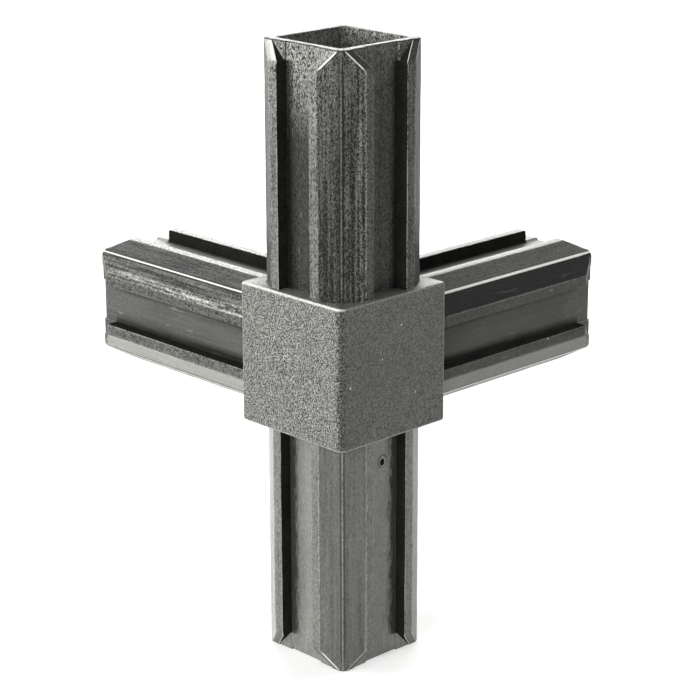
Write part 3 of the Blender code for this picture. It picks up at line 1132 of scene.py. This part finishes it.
@dataclass(frozen=True)
class PhotoCamera:
    """Camera at the viewing angle of the picture, in degrees and millimetres from the hub's centre."""

    azimuth: float = 44.013
    elevation: float = 17.619
    roll: float = -0.137
    distance: float = 387.7
    aside: float = 0.801
    above: float = 0.547
    focal_pixels: float = 2247.4
    frame_pixels: float = 696.0
    sensor: float = 36.0

    def build(self, centre: Vector) -> Object:
        """Adds the camera and makes it the scene's own.

        Args:
            centre: The hub's centre in metres.

        Returns:
            The camera.
        """
        around, tilt, roll = (math.radians(angle) for angle in (self.azimuth, self.elevation, self.roll))
        forward = Vector((math.cos(tilt) * math.sin(around), math.cos(tilt) * math.cos(around), -math.sin(tilt)))
        level = forward.cross(Vector((0, 0, 1))).normalized()
        up = level.cross(forward)
        right = math.cos(roll) * level + math.sin(roll) * up
        top = math.cos(roll) * up - math.sin(roll) * level
        data = bpy.data.cameras.new("photo_camera")
        data.sensor_width = self.sensor
        data.lens = self.sensor * self.focal_pixels / self.frame_pixels
        data.clip_start, data.clip_end = 0.01, 20.0
        camera = add_object("photo_camera", data)
        place = centre + (right * self.aside + top * self.above - forward * self.distance) * MM
        axes = Matrix((right, top, -forward)).transposed().to_4x4()
        camera.matrix_world = Matrix.Translation(place) @ axes
        bpy.context.scene.camera = camera
        return camera


@dataclass(frozen=True)
class SoftLamp:
    """A square soft lamp that looks at the hub."""

    name: str
    azimuth: float
    elevation: float
    distance: float
    width: float
    height: float
    power: float

    def build(self, centre: Vector) -> Object:
        """Adds the lamp; azimuth 0 stands on the -Y side and 90 on the +X side of the hub."""
        around, tilt = math.radians(self.azimuth), math.radians(self.elevation)
        away = Vector((math.sin(around) * math.cos(tilt), -math.cos(around) * math.cos(tilt), math.sin(tilt)))
        data = bpy.data.lights.new(self.name, "AREA")
        data.shape = "RECTANGLE"
        data.size, data.size_y = self.width, self.height
        data.energy = self.power
        lamp = add_object(self.name, data)
        lamp.location = centre + away * self.distance
        lamp.rotation_mode = "QUATERNION"
        lamp.rotation_quaternion = away.to_track_quat("Z", "Y")
        return lamp


@dataclass(frozen=True)
class Studio:
    """Pale floor, white surroundings and soft lamps."""

    floor_radius: float = 1.4
    floor_colour: tuple[float, float, float, float] = (0.62, 0.62, 0.61, 1)
    floor_fade: Pair = (0.08, 0.32)
    floor_glow: float = 0.5
    ambient: float = 0.096
    lamps: tuple[SoftLamp, ...] = (
        SoftLamp("key_lamp", -80.0, 14.0, 0.9, 0.7, 0.7, 7.0),
        SoftLamp("side_lamp", -138.0, 25.0, 1.0, 0.4, 0.4, 4.4),
        SoftLamp("back_strip", 136.0, 20.0, 1.1, 1.1, 0.42, 12.0),
        SoftLamp("top_lamp", -60.0, 80.0, 1.0, 0.6, 0.6, 2.4),
        SoftLamp("ridge_lamp", 65.0, 43.0, 1.0, 0.12, 0.12, 2.7),
    )

    def floor(self) -> Object:
        """Adds the floor disc: a dull pale grey whose camera and mirror views glow a little, so that it is white."""
        angle = np.linspace(0, 2 * math.pi, 96, endpoint=False)
        rim = np.stack([np.cos(angle), np.sin(angle), 0 * angle], -1) * self.floor_radius
        mesh = bpy.data.meshes.new("floor")
        mesh.from_pydata(rim.tolist(), [], [list(range(len(rim)))])
        shader = Shader("floor_pale")
        seen = shader.output("LightPath", "Is Camera Ray").most(
            shader.output("LightPath", "Is Glossy Ray"))
        reach = Wire(shader.tree, shader.place.into("VectorMath", {0: shader.place}, "LENGTH")
                     .socket.node.outputs["Value"])
        glow = seen * reach.span(*self.floor_fade, self.floor_glow, 1.0)
        for name, value in (("Roughness", 0.9), ("Specular IOR Level", 0.1), ("Base Color", self.floor_colour),
                            ("Emission Color", WHITE_LIGHT), ("Emission Strength", glow)):
            put(shader.surface[name], value)
        mesh.materials.append(shader.material)
        floor = add_object("floor", mesh)
        return floor

    def surroundings(self) -> None:
        """Gives the world white for the camera and for reflections, and an even grey for the rest."""
        world = bpy.data.worlds.new("studio")
        bpy.context.scene.world = world
        world.use_nodes = True
        tree = world.node_tree
        path = tree.nodes.new("ShaderNodeLightPath").outputs
        camera, through, mirror = (Wire(tree, path[f"Is {kind} Ray"]) for kind in ("Camera", "Transmission", "Glossy"))
        back = tree.nodes["Background"].inputs
        put(back["Color"], WHITE_LIGHT)
        put(back["Strength"], camera.most(through).most(mirror).span(0.0, 1.0, self.ambient))

    def build(self, centre: Vector) -> None:
        """Adds floor, surroundings and the lamps about the hub, and sets plain colour management."""
        self.floor()
        self.surroundings()
        for lamp in self.lamps:
            lamp.build(centre)
        bpy.context.scene.view_settings.view_transform = "Standard"


# Each arm's finish; tones differ by arm and by side as the light fell: painted light and shade.
ARM_FINISHES = (
    FlowStreaked(
        ArmSide.UPPER, facet=(0.0525, 0.0675), panel=(0.04, 0.0887), land=(0.155, 0.0863), over=(0.055, 0.055),
        under=0.055, edge=0.5, slope=(1.33, 0.12), arris=0.2, arris_share=0.8, arris_break=0.9, arris_from=0.68,
        facet_grain=1.05, panel_grain=0.6, land_grain=0.65, streak=0.85, band=(0.6, 0.5), mottle=4.2,
        beads=(0.95, 0.30), far=(0.9, 0.05), shadow_rag=0.05, top=0.175),
    FlowStreaked(
        ArmSide.LOWER, facet=(0.1125, 0.125), panel=(0.2125, 0.325), land=(0.1725, 0.1688), over=(0.1187, 0.1187),
        under=0.1187, edge=0.5, slope=(0.5, 0.4), arris=0.33, arris_share=0.8, arris_break=0.85, arris_from=0.68,
        facet_grain=0.34, panel_grain=0.28, land_grain=0.5, streak=0.16, band=(0.15, 0.1), mottle=0.3,
        far=(3.2, 1.2), shadow_reach=(1.45, 1.45), shadow_rag=0.22, specular=0.5, roughness=0.32),
    FlowStreaked(
        ArmSide.RIGHT_REAR, facet=(0.0462, 0.0462), panel=(0.125, 0.125), land=(0.0825, 0.0825), over=(0.0075, 0.0587),
        under=0.275, edge=0.25, slope=(0.3, 0.1), arris=0.95, arris_share=1.0, arris_break=0.1, arris_from=0.43,
        facet_grain=0.5, panel_grain=0.1, land_grain=0.3, streak=0.14, band=(0.0, 0.0), mottle=0.1,
        shadow_reach=(1.15, 0.75), shadow_rag=0.04, top=0.2375, cut=0.4, specular=0.1),
    FlowStreaked(
        ArmSide.LEFT_REAR, facet=(0.1187, 0.1187), panel=(0.09, 0.09), land=(0.0938, 0.0938), over=(0.0875, 0.045),
        under=0.3875, edge=0.4375, slope=(0.14, 0.3), arris=0.95, arris_share=1.0, arris_break=0.1, arris_from=0.62,
        facet_grain=0.85, panel_grain=0.15, land_grain=0.9, streak=0.8, band=(2.7, 0.7), mottle=0.2,
        shadow_reach=(1.15, 0.75), shadow_rag=0.04, top=0.3875, cut=0.5),
)


def clear_defaults() -> None:
    """Removes the objects that a new file starts with."""
    for thing in list(bpy.data.objects):
        bpy.data.objects.remove(thing, do_unlink=True)


def main() -> None:
    """Builds the connector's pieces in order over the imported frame, then the studio."""
    logging.basicConfig(level=logging.INFO, format="%(name)s %(message)s")
    clear_defaults()
    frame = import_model()
    low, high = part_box(CAD_NODE)
    LOG.info("frame has %d node(s), box %s to %s", len(frame["nodes"]), tuple(low), tuple(high))
    hub = CubeHub()
    half, tip = hub.half * MM, RibbedArm.tip * MM
    centre = Vector((low.x + half, low.y + half, low.z + tip))
    hub.build(centre, SparkGrain().material())
    shade = DeepShade().material()
    for finish in ARM_FINISHES:
        material = finish.material()
        RibbedArm(finish.side).build(centre, material, shade)
        if finish.side is ArmSide.LOWER:
            GateMark().build(centre, material, shade)
    PhotoCamera().build(centre)
    Studio().build(centre)


if __name__ == "__main__":
    main()
